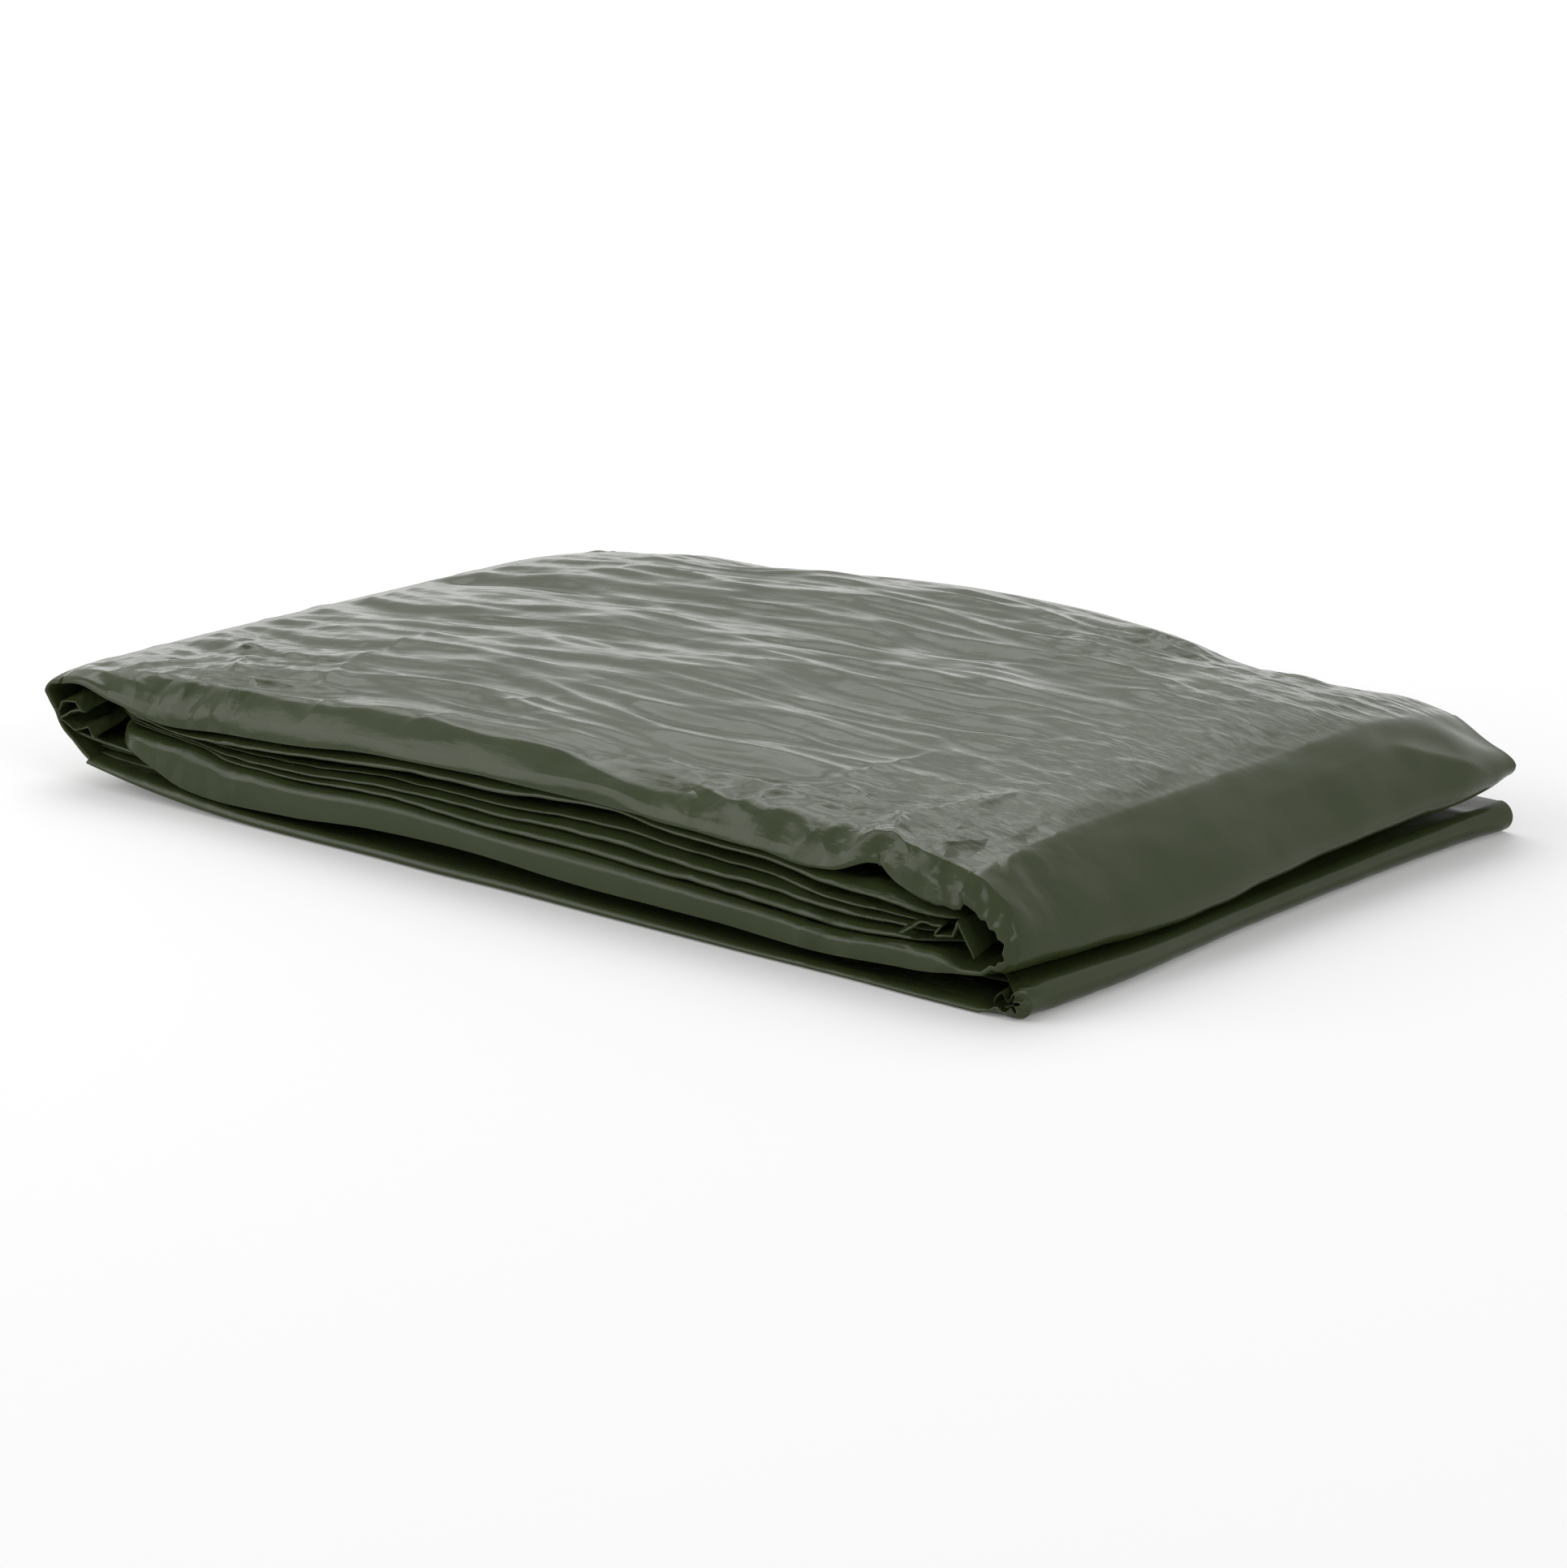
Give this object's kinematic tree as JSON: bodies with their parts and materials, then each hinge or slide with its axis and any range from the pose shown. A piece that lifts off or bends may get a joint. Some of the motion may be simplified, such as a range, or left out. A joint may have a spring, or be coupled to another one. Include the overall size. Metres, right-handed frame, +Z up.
{
  "type": "bivy sack",
  "caption": "Emergency bivy sack of olive plastic film, pleated and folded into a flat packet that opens about its looped end.",
  "frame": {"origin": "centre of the packet's box on the face it rests on", "axes": "+X along the pleats from the looped end to the folded end, +Y across the strip, +Z up"},
  "size_m": [0.3146, 0.209, 0.0388],
  "materials": {
    "film": "dark olive polyethylene film, satin"
  },
  "bodies": {
    "lower_panel": {"base_sheet": "film", "edge_fold": "film", "cover_sheet": "film", "lower_pleat_1": "film", "lower_pleat_2": "film", "base_bend": "film", "near_corner_tuck": "film"},
    "end_loop": {"end_loop": "film"},
    "upper_pack": {"crown_sheet": "film", "crown_bend": "film", "upper_fold": "film", "middle_sheet": "film", "pleat_1": "film", "pleat_2": "film", "pleat_3": "film", "pleat_4": "film", "foot_weld": "film", "mouth_edge": "film", "loop_corner_tuck": "film"}
  },
  "joints": [
    {"name": "loop_low_fold", "type": "hinge", "parent": "lower_panel", "child": "end_loop", "pos_m": [-0.14875, 0.0045, 0.0115], "axis": [-0.0847, -0.9964, 0], "range_deg": [0, 90]},
    {"name": "loop_high_fold", "type": "hinge", "parent": "end_loop", "child": "upper_pack", "pos_m": [-0.14875, 0.0045, 0.02635], "axis": [-0.0847, -0.9964, 0], "range_deg": [0, 90]}
  ],
  "couplings": [
    {"joint": "loop_low_fold", "follows": "loop_high_fold", "ratio": 1}
  ]
}
